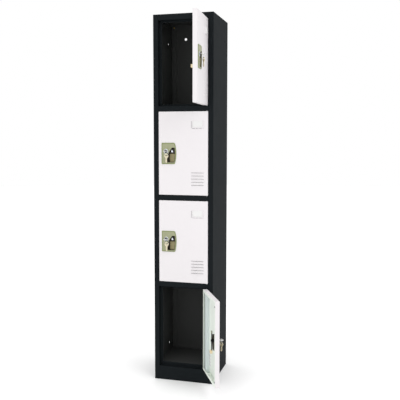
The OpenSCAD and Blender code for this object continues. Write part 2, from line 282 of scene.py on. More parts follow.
def piece_of(name, build):
    """An object made by a function that fills a bmesh."""
    bm = bmesh.new()
    build(bm)
    return finish_mesh(bm, name)


def apply_modifiers(piece):
    graph = bpy.context.evaluated_depsgraph_get()
    graph.update()
    done = bpy.data.meshes.new_from_object(piece.evaluated_get(graph), depsgraph=graph)
    piece.modifiers.clear()
    old = piece.data
    piece.data = done
    bpy.data.meshes.remove(old)


def combine(piece, operation, *builds):
    """Boolean of a piece with the solids that the functions build."""
    for build in builds:
        other = piece_of("cutter", build)
        step = piece.modifiers.new("boolean", "BOOLEAN")
        step.operation = operation
        step.solver = "EXACT"
        step.object = other
        apply_modifiers(piece)
        bpy.data.objects.remove(other)


def shade(piece, angle=35):
    """Smooth shading that keeps flat faces flat."""
    mesh = piece.data
    mesh.polygons.foreach_set("use_smooth", [True] * len(mesh.polygons))
    mesh.set_sharp_from_angle(angle=math.radians(angle))
    step = piece.modifiers.new("normals", "WEIGHTED_NORMAL")
    step.keep_sharp = True
    step.weight = 90
    apply_modifiers(piece)


IN_METRES = Matrix.Scale(MM, 4)


def door_matrix(n):
    """From the closed door's place in millimetres to door n as it stands at rest, in metres."""
    pivot = Vector(JOINTS[f"door_{n}_swing"]["pos_m"])
    closed = Vector(JOINTS[f"door_{CLOSED}_swing"]["pos_m"])
    inward = JOINTS[f"lock_{n}_turn"]["axis"]
    angle = math.atan2(-inward[0], inward[1])
    swing = Matrix.Translation(pivot) @ Matrix.Rotation(angle, 4, "Z") @ Matrix.Translation(-closed)
    return swing @ IN_METRES


def accent(piece, material, chosen):
    """Adds a second material, on the faces whose middle, in millimetres, is chosen."""
    piece.data.materials.append(material)
    for face in piece.data.polygons:
        if chosen(face.center):
            face.material_index = 1


def inside_lockers(place):
    walls = abs(place.x) < HALF_W - 0.9 and STOP + 0.3 < place.y < BACK - 0.9
    return walls and INNER_LOW < place.z < SIDE_TOP - 0.5


def inside_door(place):
    across = door_low.x + 0.5 < place.x < door_high.x - 0.5
    return across and door_low.z + 0.5 < place.z < door_high.z - 0.5 and place.y > FRONT + 0.8


def on_bezel(place):
    return place.y < PLATE_FACE + 0.6 and math.hypot(place.x - LOCK_X, place.z - LOCK_Z) > BEZEL_R


def settle(piece, material, replaces, body="cabinet", angle=35):
    """Shades a piece, puts it in place and makes it ride on its body."""
    piece.data.materials.append(material)
    # the insides of the lockers get the lighter copy of the body paint: painted light
    if material is BODY_PAINT:
        accent(piece, INNER_LIT_PAINT, inside_lockers)
    shade(piece, angle)
    piece.data.transform(IN_METRES)
    piece.data.update()
    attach(piece, body)
    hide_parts(*replaces)


def on_each_door(first, group, material, replaces=(), angle=35, second=None):
    """The closed door's piece, on all four doors. group is the name of the body without its number."""
    first.data.materials.append(material)
    if second:
        accent(first, *second)
    shade(first, angle)
    for n in DOORS:
        piece = bpy.data.objects.new(f"{first.name}_{n}_look", first.data.copy())
        bpy.context.scene.collection.objects.link(piece)
        piece.data.transform(door_matrix(n))
        piece.data.update()
        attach(piece, f"{group}_{n}")
        if replaces:
            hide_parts(*[f"{node}_{n}" for node in replaces])
    bpy.data.objects.remove(first)


# ---------------------------------------------------------------- materials


class Paint:
    """A Principled material with short names for the nodes that feed it."""

    def __init__(self, name):
        self.material = bpy.data.materials.new(name)
        self.material.use_nodes = True
        self.tree = self.material.node_tree
        self.shader = self.tree.nodes["Principled BSDF"]
        self.place = self.tree.nodes.new("ShaderNodeTexCoord").outputs["Object"]

    def noise(self, scale, detail=3.0, roughness=0.5, stretch=(1, 1, 1)):
        mapping = self.tree.nodes.new("ShaderNodeMapping")
        mapping.inputs["Scale"].default_value = stretch
        self.tree.links.new(self.place, mapping.inputs["Vector"])
        node = self.tree.nodes.new("ShaderNodeTexNoise")
        node.inputs["Scale"].default_value = scale
        node.inputs["Detail"].default_value = detail
        node.inputs["Roughness"].default_value = roughness
        self.tree.links.new(mapping.outputs["Vector"], node.inputs["Vector"])
        return node.outputs["Fac"]

    def spread(self, source, low, high, from_low=0.3, from_high=0.7):
        node = self.tree.nodes.new("ShaderNodeMapRange")
        limits = {"From Min": from_low, "From Max": from_high, "To Min": low, "To Max": high}
        for name, value in limits.items():
            node.inputs[name].default_value = value
        self.tree.links.new(source, node.inputs["Value"])
        return node.outputs["Result"]

    def blend(self, factor, first, second):
        node = self.tree.nodes.new("ShaderNodeMix")
        node.data_type = "RGBA"
        self.tree.links.new(factor, node.inputs["Factor"])
        for name, value in (("A", first), ("B", second)):
            socket = [s for s in node.inputs if s.name == name and s.type == "RGBA"][0]
            if isinstance(value, tuple):
                socket.default_value = (*value, 1)
            else:
                self.tree.links.new(value, socket)
        return [s for s in node.outputs if s.type == "RGBA"][0]

    def colour(self, source):
        self.tree.links.new(source, self.shader.inputs["Base Color"])

    def gloss(self, source):
        self.tree.links.new(source, self.shader.inputs["Roughness"])

    def bump(self, *heights):
        """Stacked height fields, each with its strength and its depth in metres."""
        normal = None
        for height, strength, depth in heights:
            node = self.tree.nodes.new("ShaderNodeBump")
            node.inputs["Strength"].default_value = strength
            node.inputs["Distance"].default_value = depth
            self.tree.links.new(height, node.inputs["Height"])
            if normal is not None:
                self.tree.links.new(normal, node.inputs["Normal"])
            normal = node.outputs["Normal"]
        self.tree.links.new(normal, self.shader.inputs["Normal"])

    def set(self, name, value):
        self.shader.inputs[name].default_value = value


def tint(colour, factor):
    return tuple(min(1.0, c * factor) for c in colour)


def powder_coat(name, colour, roughness, specular, variation, peel):
    """Baked powder paint: orange peel, faint cloudiness, and a sheet that isn't perfectly flat."""
    p = Paint(name)
    base = p.blend(p.spread(p.noise(9, 4), 0, 1), tint(colour, 1 - variation), tint(colour, 1 + variation))
    fleck = p.blend(p.spread(p.noise(900, 2, 0.6), 0, 1, 0.4, 0.8), base, tint(colour, 1 + 2 * variation))
    p.colour(fleck)
    p.gloss(p.spread(p.noise(18, 2), roughness - 0.015, roughness + 0.02))
    p.set("Specular IOR Level", specular)
    p.bump((p.noise(4, 1), 0.03, 0.004), (p.noise(420, 2), peel, 0.0003), (p.noise(1600, 1), peel, 0.0001))
    return p.material


def moulded(name, colour, roughness, variation=0.05, grain=0.25):
    """Moulded plastic or rubber: a fine matt grain and slow changes of shade."""
    p = Paint(name)
    shades = p.spread(p.noise(60, 4), 0, 1)
    p.colour(p.blend(shades, tint(colour, 1 - variation), tint(colour, 1 + variation)))
    p.gloss(p.spread(p.noise(200, 3), roughness - 0.06, roughness + 0.08))
    p.bump((p.noise(2600, 2, 0.6), grain, 0.0001))
    return p.material


def metal(name, colour, roughness, scratch=0.3, stretch=(1, 1, 18), tarnish=0.15, plating=1.0):
    """Plated or drawn metal: fine scratches one way, and spots where the plating is duller."""
    p = Paint(name)
    spots = p.spread(p.noise(160, 5, 0.6), 0, 1, 0.35, 0.75)
    p.colour(p.blend(spots, colour, tint(colour, 1 - tarnish)))
    lines = p.noise(1400, 3, 0.7, stretch)
    p.gloss(p.spread(lines, roughness - 0.05, roughness + 0.12))
    p.set("Metallic", plating)
    p.bump((lines, scratch, 0.00006))
    return p.material


def paper(name, colour):
    p = Paint(name)
    fibre = p.noise(1800, 4, 0.7, (1, 1, 3))
    p.colour(p.blend(fibre, tint(colour, 0.96), tint(colour, 1.03)))
    p.gloss(p.spread(fibre, 0.75, 0.95))
    p.bump((fibre, 0.3, 0.00005))
    return p.material


BODY_PAINT = powder_coat("body_paint", (0.0082, 0.0104, 0.0118), 0.70, 0.05, 0.05, 0.12)
# a much lighter copy of the black body paint for the lockers' insides: painted light
INNER_LIT_PAINT = powder_coat("inner_lit_paint", (0.0620, 0.0640, 0.0625), 0.66, 0.06, 0.05, 0.12)
DOOR_PAINT = powder_coat("door_paint", (0.690, 0.664, 0.676), 0.42, 0.40, 0.010, 0.14)
PAN_PAINT = powder_coat("pan_paint", (0.78, 0.83, 0.765), 0.48, 0.35, 0.02, 0.16)
# a darker copy of the pan paint: painted shade for the channel's faces
CHANNEL_SHADE_PAINT = powder_coat("channel_shade_paint", (0.60, 0.66, 0.655), 0.48, 0.35, 0.02, 0.16)
HANDLE = moulded("handle_plastic", (0.295, 0.305, 0.183), 0.40, 0.05, 0.3)
HANDLE_RIM = moulded("handle_rim", (0.185, 0.218, 0.080), 0.42, 0.06, 0.3)
# the pocket is the plate's own plastic; its near-black colour is painted shade for the deep recess
HANDLE_POCKET_SHADE = moulded("handle_pocket_shade", (0.026, 0.019, 0.008), 0.55, 0.10, 0.4)
# a darker, browner copy of the handle plastic: painted shade for the sunk finger pad
HANDLE_PAD_SHADE = moulded("handle_pad_shade", (0.225, 0.195, 0.094), 0.48, 0.08, 0.4)
NYLON = moulded("nylon", (0.78, 0.64, 0.40), 0.45, 0.05, 0.2)
RUBBER = moulded("rubber", (0.22, 0.22, 0.225), 0.70, 0.10, 0.5)
BLACK_STEEL = metal("black_steel", (0.016, 0.016, 0.017), 0.42, 0.3, (1, 1, 8))
LOCK_METAL = metal("lock_metal", (0.014, 0.014, 0.015), 0.34, 0.2, (6, 1, 6))
CHROME = metal("chrome", (0.80, 0.84, 0.92), 0.14, 0.1, (1, 1, 4), 0.05)
KEY_METAL = metal("key_metal", (0.74, 0.74, 0.735), 0.30, 0.3, (1, 14, 1), 0.10, 0.6)
SPARE_METAL = metal("spare_metal", (0.70, 0.63, 0.47), 0.34, 0.3, (1, 1, 14), 0.15, 0.5)
YELLOW_ZINC = metal("yellow_zinc", (0.75, 0.56, 0.14), 0.30, 0.2, (3, 3, 3), 0.3)
PIN_METAL = metal("pin_metal", (0.52, 0.53, 0.55), 0.30, 0.3, (1, 1, 10))
CARD = paper("card", (0.70, 0.695, 0.69))

# ---------------------------------------------------------------- cabinet

GANG_Y = FRONT + 240
GANG_Z = (115, 1722)
GANG_R = 4.5
BOLT_R = 2.6
BOLT_SHANK_R = 2.5
BOLT_FLANGE_R = 4.6
BOLT_HEAD_W = 7.2
BOLT_X = HALF_W - 13.5
BOLT_Z = (14, top_high.z - 13)
WALL_HOLE_R = 6.5
WALL_HOLE_IN = 75
WELD_LOW = 60
WELD_PITCH = 131
WELD_COUNT = 14
PIN_HOLE_R = 2.6
TRAY_EDGE = 18
TOP_EDGE = 25
REAR_FLANGE = 25
TRAY_FRONT = STOP + BODY_T
TRAY_BACK = BACK - 2 * BODY_T
half_t = BODY_T / 2


def holes_along(axis, places, radius, start, end):
    """A function that builds round cutters through a sheet."""

    def build(bm):
        for place in places:
            turned(bm, place, axis, [(start, radius), (end, radius)])

    return build


def side_panel(side):
    """Wall, stile, return, stop and rear flange, folded from one sheet."""
    path = [
        (side * (HALF_W - REAR_FLANGE), BACK - BODY_T - half_t),
        (side * (HALF_W - half_t), BACK - BODY_T - half_t),
        (side * (HALF_W - half_t), FRONT + half_t),
        (side * (HALF_OPENING + half_t), FRONT + half_t),
        (side * (HALF_OPENING + half_t), STOP + half_t),
        (side * STOP_HALF, STOP + half_t),
    ]
    piece = piece_of("side", lambda bm: prism(bm, "z", folded(path, BODY_T, BODY_BEND), 0, SIDE_TOP, 0.25))
    wall = side * HALF_W
    combine(
        piece, "DIFFERENCE",
        holes_along("x", [(GANG_Y, z) for z in GANG_Z], GANG_R, wall - 3, wall + 3),
        holes_along("y", [(side * BOLT_X, z) for z in BOLT_Z], BOLT_R, BACK - 4, BACK + 1),
    )
    return piece


for side, name in ((-1, "left"), (1, "right")):
    piece = side_panel(side)
    piece.name = f"side_{name}_folded"
    settle(piece, BODY_PAINT, [f"side_{name}"])


def back_sheet(bm):
    outline = box_ring((back_low.x, back_low.z), (back_high.x, back_high.z), 2)
    prism(bm, "y", outline, back_low.y, back_high.y, 0.3)


back = piece_of("back_sheet", back_sheet)
weld_z = [WELD_LOW + WELD_PITCH * i for i in range(WELD_COUNT)]
wall_holes = [(side * WALL_HOLE_IN, top_high.z - WALL_HOLE_IN) for side in (-1, 1)]
bolt_holes = [(side * BOLT_X, z) for side in (-1, 1) for z in BOLT_Z]
combine(
    back, "DIFFERENCE",
    holes_along("y", wall_holes, WALL_HOLE_R, BACK - 4, BACK + 1),
    holes_along("y", bolt_holes, BOLT_R, BACK - 4, BACK + 1),
    # spot welds leave shallow round dimples
    lambda bm: [turned(bm, (side * BOLT_X, z), "y", [(BACK - 0.25, 1.6), (BACK + 0.2, 2.9)], 24)
                for side in (-1, 1) for z in weld_z],
)
settle(back, BODY_PAINT, ["back_panel"], angle=20)


def tray(bm, z, edge):
    """A tray with its edges turned down, its upper face at height z."""
    outline = box_ring((-HALF_W + BODY_T, TRAY_FRONT), (HALF_W - BODY_T, TRAY_BACK), 1.6, 3)
    low = z - edge
    levels = [(back, z - depth) for back, depth in quarter(1.8)]
    levels += [(0, low + 0.2), (0.2, low), (BODY_T - 0.2, low), (BODY_T, low + 0.2)]
    levels += [(BODY_T + back, z - BODY_T - depth) for back, depth in reversed(quarter(0.7))]
    shell(bm, "z", outline, levels)


def cover(bm):
    """The top: a flat sheet over the sides; the turned-down tray under it is built on its own."""
    outline = box_ring((-HALF_W, FRONT), (HALF_W, BACK), 1.8)
    prism(bm, "z", outline, top_high.z - BODY_T, top_high.z, 0.55, 3)


top = piece_of("top_sheet", cover)
settle(top, BODY_PAINT, ["top_panel"])
under_top = piece_of("top_tray", lambda bm: tray(bm, top_high.z - BODY_T, TOP_EDGE))
top_bolts = [(side * BOLT_X, BOLT_Z[1]) for side in (-1, 1)]
combine(under_top, "DIFFERENCE", holes_along("y", top_bolts, BOLT_R, TRAY_BACK - 4, TRAY_BACK + 1))
settle(under_top, BODY_PAINT, ["top_panel"])

for node in ("floor_panel", "shelf_1", "shelf_2", "shelf_3"):
    high = box_mm(node)[1].z
    settle(piece_of(f"{node}_tray", lambda bm: tray(bm, high, TRAY_EDGE)), BODY_PAINT, [node])


def rail(name, front_low, front_high, stop_low, stop_high, pins):
    """A channel between the stiles, with the stop plate welded behind it."""
    channel = folded([
        (STOP, front_low + half_t), (FRONT + half_t, front_low + half_t),
        (FRONT + half_t, front_high - half_t), (STOP, front_high - half_t),
    ], BODY_T, BODY_BEND)
    stop = rectangle((STOP, stop_low), (STOP + BODY_T, stop_high), 0.45, 3)

    def build(bm):
        prism(bm, "x", channel, -HALF_OPENING + 0.1, HALF_OPENING - 0.1, 0.2)
        prism(bm, "x", stop, -STOP_HALF + 0.1, STOP_HALF - 0.1, 0.2)

    piece = piece_of(f"{name}_folded", build)
    pin = Vector(JOINTS[f"door_{CLOSED}_swing"]["pos_m"]) / MM
    combine(piece, "DIFFERENCE", *[
        lambda bm, z=z: turned(bm, (pin.x, pin.y), "z", [(z - 3, PIN_HOLE_R), (z + 3, PIN_HOLE_R)], 24)
        for z in pins
    ])
    settle(piece, BODY_PAINT, [name])


RAIL_LIP = 9
for n in (1, 2, 3):
    low, high = box_mm(f"rail_{n}")
    rail(f"rail_{n}", low.z + RAIL_LIP, high.z - RAIL_LIP, low.z, high.z,
         (low.z + RAIL_LIP + half_t, high.z - RAIL_LIP - half_t))
low, high = box_mm("top_rail")
rail("top_rail", low.z + RAIL_LIP, high.z, low.z, high.z, (low.z + RAIL_LIP + half_t,))
KICK_LIP = 17
low, high = box_mm("kick_plate")
kick_top = high.z - KICK_LIP
rail("kick_plate", low.z, kick_top, kick_top - BODY_T, high.z, (kick_top - half_t,))


def bolts(bm):
    """Flanged hexagonal heads inside the back corners, their shanks through flange and back."""
    seat = BACK - 3 * BODY_T
    for side in (-1, 1):
        for z in BOLT_Z:
            at = (side * BOLT_X, z)
            turned(bm, at, "y", [(seat - 1.0, 3.9), (seat - 0.7, 4.5), (seat, BOLT_FLANGE_R)], 32)
            hexagon_nut(bm, at, bolts_low.y, seat - 0.8, BOLT_HEAD_W, turn=12)
            turned(bm, at, "y", [(seat, BOLT_SHANK_R), (BACK - 0.4, BOLT_SHANK_R), (BACK, 2.1)], 24)


settle(piece_of("bolt_set", bolts), YELLOW_ZINC, ["assembly_bolts"])

# ---------------------------------------------------------------- doors

DOOR_BEND = 2.0
BORDER = 14
DOOR_THICK = 21.5
DOOR_BACK = channel_low.y - DOOR_T + DOOR_THICK
LOCK_HOLE_R = 9.3
PLATE_H = plate_high.z - plate_low.z
PLATE_W = plate_high.x - plate_low.x
PLATE_FACE = plate_low.y
BULGE = 7.5
BULGE_R = (PLATE_H ** 2 / 4 + BULGE ** 2) / (2 * BULGE)
PLATE_CORNER = 3.0
BULGE_CORNER = 9.0
# the stretch at each end of the bulge that its round corner takes up
CORNER_ROOM = 12
# radius for the points along a curve that is nearly straight
FLAT_CURVE = 30.0
RIM = 7
POCKET_LEFT = 28.5
POCKET_LOW = 9
POCKET_KNEE = 43
POCKET_PEAK = (54, 79.5)


def on_plate(outline):
    """Handle-plate coordinates, from its lower left corner, to the door's."""
    return [(plate_low.x + u, plate_low.z + v) for u, v in outline]


def bulge_line(margin, low, high, steps=14):
    """The plate's bulging right side, moved inwards by margin, between two heights."""
    centre = (PLATE_W - BULGE_R, PLATE_H / 2)
    radius = BULGE_R - margin
    start = math.degrees(math.asin((low - centre[1]) / radius))
    end = math.degrees(math.asin((high - centre[1]) / radius))
    return arc(centre, radius, start, end, steps)


def plate_outline(back=0):
    """Straight on the left, bulging on the right with large round corners, moved inwards by back."""
    low, high = bulge_line(back, back, PLATE_H - back, 1)
    side = bulge_line(back, back + CORNER_ROOM, PLATE_H - back - CORNER_ROOM)
    points = [(back, back), low] + side + [high, (back, PLATE_H - back)]
    small, large = [max(0.4, radius - back) for radius in (PLATE_CORNER, BULGE_CORNER)]
    radii = [small, large] + [FLAT_CURVE] * len(side) + [large, small]
    return on_plate(rounded(points, radii, 4))


def pocket_outline(back=0):
    """The finger pocket: straight on the left, a slanted top, and the plate's bulge on the right."""
    low, high = POCKET_LOW + back, POCKET_PEAK[1] - back
    right = bulge_line(RIM + back, low, high)
    points = [(POCKET_LEFT + back, low)] + right
    points += [(POCKET_PEAK[0] + back / 2, high), (POCKET_LEFT + back, POCKET_KNEE - back / 2)]
    corners = [max(0.3, radius - back) for radius in (3.0, 2.5, 0.8, 2.0, 5.0)]
    radii = corners[:2] + [FLAT_CURVE] * (len(right) - 2) + corners[2:]
    return on_plate(rounded(points, radii, 4))


def door_pan(bm):
    """The door's sheet, folded back on all four sides and in again to a flat border."""
    outline = box_ring((door_low.x, door_low.z), (door_high.x, door_high.z), DOOR_BEND)
    levels = [(back, FRONT + depth) for back, depth in quarter(DOOR_BEND, 4)]
    levels += [(back, DOOR_BACK - depth) for back, depth in reversed(quarter(1.5))]
    levels += [(BORDER, DOOR_BACK), (BORDER, DOOR_BACK - DOOR_T)]
    levels += [(DOOR_T + back, DOOR_BACK - DOOR_T - depth) for back, depth in quarter(0.6)]
    levels += [(DOOR_T + back, FRONT + DOOR_T + depth) for back, depth in reversed(quarter(1.0))]
    shell(bm, "y", outline, levels)


LOUVRE_RIGHT = door_high.x - 20
LOUVRE_W = 66
LOUVRE_LOW = door_low.z + 49
LOUVRE_PITCH = 15.3
LOUVRE_H = 9
LOUVRE_OUT = 2.4
LOUVRE_COUNT = 5
LOUVRE_SLIT = 1.4


def louvre_hood(bm, index, wall):
    """One pressed hood, open along its upper edge.

    wall moves its surface inwards, for the hollow behind it.
    """
    top = LOUVRE_LOW + index * LOUVRE_PITCH
    stations, rows, end = 30, 7, 9.0
    hollow = wall > 0
    left, right = LOUVRE_RIGHT - LOUVRE_W + wall, LOUVRE_RIGHT - wall
    rings = []
    for s in range(stations + 1):
        # closer stations where the ends are drawn in
        x = left + (right - left) * (1 - math.cos(math.pi * s / stations)) / 2
        near = min(1.0, min(x - left, right - x) / end)
        reach = math.sqrt(max(0.0, 1 - (1 - near) ** 2))
        out = max(0.02, (LOUVRE_OUT - (DOOR_T * 0.9 if hollow else 0)) * reach)
        low = top - (LOUVRE_H - 1.6 * wall) * (0.55 + 0.45 * reach)
        ring = [(x, FRONT + (DOOR_T + 0.5 if hollow else 0.4), low)]
        for r in range(rows + 1):
            part = r / rows
            ring.append((x, FRONT - out * math.sin(part * math.pi / 2) ** 1.2, low + (top - low) * part))
        if hollow:
            ring = [(px, py, pz + LOUVRE_SLIT * (pz - low) / (top - low)) for px, py, pz in ring]
            ring.append((x, FRONT + DOOR_T + 0.5, top + LOUVRE_SLIT))
        else:
            ring.append((x, FRONT + 0.4, top))
        rings.append(ring)
    loft(bm, rings)


LABEL_SLOT = 0.8
LABEL_DASH = 13.0


def label_slots(bm):
    """Slots through the sheet along the label holder's left edge, and three short ones under it."""
    left, low = label_low.x, label_low.z
    slots = [((left - LABEL_SLOT, low), (left + LABEL_SLOT, label_high.z - 2))]
    for i in range(3):
        start = left + 4 + i * (LABEL_DASH + 4)
        slots.append(((start, low - LABEL_SLOT), (start + LABEL_DASH, low + LABEL_SLOT * 0.5)))
    for near, far in slots:
        prism(bm, "y", rectangle(near, far, 0.5, 2), FRONT - 1, FRONT + 2)


pan = piece_of("door_pan", door_pan)
combine(pan, "UNION", lambda bm: [louvre_hood(bm, i, 0) for i in range(LOUVRE_COUNT)])
combine(
    pan, "DIFFERENCE",
    lambda bm: [louvre_hood(bm, i, 1.0) for i in range(LOUVRE_COUNT)],
    lambda bm: prism(bm, "y", pocket_outline(-2.0), FRONT - 1, FRONT + 2),
    holes_along("y", [(LOCK_X, LOCK_Z)], LOCK_HOLE_R, FRONT - 1, FRONT + 2),
    label_slots,
)
on_each_door(pan, "door", DOOR_PAINT, ["door"], angle=28, second=(PAN_PAINT, inside_door))

# stiffening channel along the hinge side
CHANNEL_HOLE_IN = 28
CHANNEL_HOLE_R = 3.0
CHANNEL_WELD_UP = 70
CHANNEL_WELD_PITCH = 90.25


def stiffener(bm):
    half = DOOR_T / 2
    path = [
        (channel_low.x + half, channel_low.y + 0.05), (channel_low.x + half, channel_high.y - half),
        (channel_high.x - half, channel_high.y - half), (channel_high.x - half, channel_low.y + 0.05),
    ]
    prism(bm, "z", folded(path, DOOR_T, 1.4), channel_low.z, channel_high.z, 0.2)


channel_x = (channel_low.x + channel_high.x) / 2


def channel_welds(bm):
    """Two columns of shallow round weld dimples."""
    dimple = [(channel_high.y - 0.3, 1.5), (channel_high.y + 0.2, 2.7)]
    for i in range(4):
        for side in (-1, 1):
            place = (channel_x + side * 8, door_low.z + CHANNEL_WELD_UP + CHANNEL_WELD_PITCH * i)
            turned(bm, place, "y", dimple, 24)


channel = piece_of("door_channel", stiffener)
combine(
    channel, "DIFFERENCE",
    holes_along("y", [(channel_x, door_low.z + CHANNEL_HOLE_IN), (channel_x, door_high.z - CHANNEL_HOLE_IN)],
                CHANNEL_HOLE_R, channel_high.y - 3, channel_high.y + 1),
    channel_welds,
)
# the channel is painted darker than the pan: painted shade
on_each_door(channel, "door", CHANNEL_SHADE_PAINT, ["door_channel"])

# rubber bumpers on the inner border, at the free edge
BUMPER_X = door_low.x + 6.2
BUMPER_IN = 26
BUMPER_PROFILE = [(0, 4.2), (0.5, 4.3), (1.2, 3.9), (1.8, 2.8), (2.1, 1.2)]


def bumpers(bm):
    for z in (door_low.z + BUMPER_IN, door_high.z - BUMPER_IN):
        turned(bm, (BUMPER_X, z), "y", [(DOOR_BACK + level, radius) for level, radius in BUMPER_PROFILE], 28)


on_each_door(piece_of("bumpers", bumpers), "door", RUBBER)

# ---------------------------------------------------------------- handle plate

FIELD_DROP = 0.7
RIM_LINE = 4.2
POCKET_DEEP = FRONT + 12.6
PAD_GAP = 1.2
PAD_LEFT = 39.7
PAD_TOP = 50.7
PAD_W = 29
PAD_DEEP = FRONT + 8.0
PAD_RISE = 7.0
TONGUE = [(46, 58), (58, 57.5), (52.5, 73.5)]
TONGUE_DEEP = FRONT + 7.5
TONGUE_HIGH = FRONT + 2.5


def handle_face(bm):
    """The light field inside the darker rim, down to the door."""
    face = PLATE_FACE + FIELD_DROP
    edge = RIM_LINE - 0.2
    shell(bm, "y", plate_outline, [(RIM_LINE + 0.3, face), (edge, face + 0.1), (edge, FRONT)])


def handle_rim(bm):
    """The raised rim that runs round the plate."""
    levels = [(0.6, FRONT), (0.0, FRONT - 0.4)]
    levels += [(back, PLATE_FACE + depth) for back, depth in reversed(quarter(1.1))]
    levels += [(RIM_LINE - 0.6, PLATE_FACE), (RIM_LINE - 0.1, PLATE_FACE + 0.35), (RIM_LINE - 0.05, FRONT)]
    shell(bm, "y", plate_outline, levels, closed=True)


def pocket_bowl(bm):
    """The moulded bowl behind the plate: an outer skin, a lip in the face, steep walls and a flat floor."""
    face = PLATE_FACE + FIELD_DROP
    skin = [(-0.4, POCKET_DEEP + 1.6), (-1.4, POCKET_DEEP), (-1.4, face)]
    lip = [(-1.1, face - 0.35), (-0.5, face - 0.45), (0.1, face - 0.1), (0.5, face + 0.8)]
    hollow = [(0.9, POCKET_DEEP - 1.0), (1.3, POCKET_DEEP - 0.3), (2.0, POCKET_DEEP)]
    shell(bm, "y", pocket_outline, skin + lip + hollow)


def pad_outline(back=0):
    """The finger pad's outline: straight on the left and at its top, with the bulge on the right."""
    low, high = POCKET_LOW + PAD_GAP + back, PAD_TOP - back
    right = bulge_line(RIM + PAD_GAP + back, low, high)
    points = [(PAD_LEFT + back, low)] + right + [(PAD_LEFT + back, high)]
    corner = max(0.3, 2.0 - back)
    radii = [corner, corner] + [FLAT_CURVE] * (len(right) - 2) + [corner, corner]
    return on_plate(rounded(points, radii, 4))


def finger_pad(bm):
    """The sloped pad that fingers pull on: deep at the left, near the door's face at the right."""
    left = plate_low.x + PAD_LEFT
    rings = [along("y", pad_outline(), POCKET_DEEP + 0.4)]
    for back, sunk in ((0, 1.0), (0.3, 0.35), (1.0, 0.0)):
        rings.append([(x, PAD_DEEP + sunk - PAD_RISE * (x - left) / PAD_W, z) for x, z in pad_outline(back)])
    loft(bm, rings)


def tongue(bm):
    """The bright three-sided tongue above the pad, its face tilted down."""
    corners = on_plate(TONGUE)
    low, high = corners[0][1], corners[2][1]
    tilt = (TONGUE_DEEP - TONGUE_HIGH) / (high - low)
    outline = rounded(corners, 1.2, 4)
    rings = [along("y", outline, POCKET_DEEP + 0.4)]
    for back, sunk in ((0, 0.6), (0.5, 0.0)):
        rings.append([(x, TONGUE_DEEP + sunk - tilt * (z - low), z) for x, z in inset(outline, back)])
    loft(bm, rings)


face = piece_of("handle_face", handle_face)
combine(
    face, "DIFFERENCE",
    lambda bm: prism(bm, "y", pocket_outline(-1.2), PLATE_FACE - 1, FRONT + 1),
    holes_along("y", [(LOCK_X, LOCK_Z)], LOCK_HOLE_R, PLATE_FACE - 1, FRONT + 1),
)
on_each_door(face, "door", HANDLE, ["handle_plate"])
on_each_door(piece_of("handle_rim", handle_rim), "door", HANDLE_RIM, ["handle_plate"])
# the pocket bowl is painted near black: painted shade for the deep recess
on_each_door(piece_of("handle_pocket_shade", pocket_bowl), "door", HANDLE_POCKET_SHADE, ["handle_plate"])
# the finger pad is darker than the plate: painted shade for its place in the pocket
on_each_door(piece_of("finger_pad", finger_pad), "door", HANDLE_PAD_SHADE, ["handle_plate"])
on_each_door(piece_of("handle_tongue", tongue), "door", CHROME, ["handle_plate"])

# ---------------------------------------------------------------- lock and latch

LOCK_AT = (LOCK_X, LOCK_Z)
BARREL_R = 9
BEZEL_R = 9.0
NUT_R = 13
NUT_T = 3.9
PLUG_R = 6
ARM_T = 2.2
ARM_FRONT = FRONT + 27
ARM_HALF = 7
ARM_UP = 41
EYE_AT = (LOCK_X, LOCK_Z + ARM_UP)
EYE_HOLE_R = 4.6
ARM_WASHER_R = 6.9
ARM_NUT_W = 11.6
STUD_R = 3.0
KEYWAY_HALF_W = 4.2
KEYWAY_HALF_H = 1.4
KEYWAY_END = FRONT + 19
plug_front = cam_low.y
arm_back = ARM_FRONT + ARM_T


def barrel(bm):
    """The lock's body: a chamfered face ring, a threaded barrel and the hexagonal nut behind the sheet."""
    front = barrel_low.y
    profile = [
        (front + 1.0, PLUG_R + 0.1), (front + 0.25, PLUG_R + 0.15), (front, PLUG_R + 0.6), (front, 8.6),
        (front + 0.3, 9.8), (front + 1.0, 10.45), (PLATE_FACE - 0.1, 10.5), (PLATE_FACE + FIELD_DROP, 10.3),
        (PLATE_FACE + FIELD_DROP, BARREL_R),
    ]
    thread = FRONT + DOOR_T + 4.6
    while thread < barrel_high.y - 1.5:
        profile += [(thread, BARREL_R), (thread + 0.5, BARREL_R - 0.5), (thread + 1.0, BARREL_R)]
        thread += 1.0
    profile += [(barrel_high.y - 0.6, BARREL_R - 0.2), (barrel_high.y, BARREL_R - 0.8),
                (barrel_high.y, PLUG_R + 0.1)]
    turned(bm, LOCK_AT, "y", profile, 48, closed=True)
    seat = FRONT + DOOR_T + 0.1
    across = NUT_R * math.sqrt(3) * 0.99
    hexagon_nut(bm, LOCK_AT, seat + NUT_T, seat, across, bore=BARREL_R, turn=30)


on_each_door(piece_of("lock_body", barrel), "door", LOCK_METAL, ["lock_barrel"],
             second=(CHROME, on_bezel))


def plug(bm):
    profile = [(plug_front, 4.9), (plug_front + 0.25, 5.7), (plug_front + 0.8, PLUG_R), (ARM_FRONT, PLUG_R)]
    turned(bm, LOCK_AT, "y", profile, 40)


plug_piece = piece_of("lock_plug", plug)
keyway = rectangle((LOCK_X - KEYWAY_HALF_W, LOCK_Z - KEYWAY_HALF_H),
                   (LOCK_X + KEYWAY_HALF_W, LOCK_Z + KEYWAY_HALF_H), 0.5, 2)
combine(plug_piece, "DIFFERENCE", lambda bm: prism(bm, "y", keyway, plug_front - 1, KEYWAY_END))
on_each_door(plug_piece, "lock", LOCK_METAL, ["lock_cam"])


def arm(bm):
    """The flat latch bar, round at its eye."""
    bar = [(LOCK_X - ARM_HALF, cam_low.z), (LOCK_X + ARM_HALF, cam_low.z)]
    eye = arc(EYE_AT, ARM_HALF, 0, 180, 20)
    prism(bm, "y", bar + eye, ARM_FRONT, arm_back, 0.35)


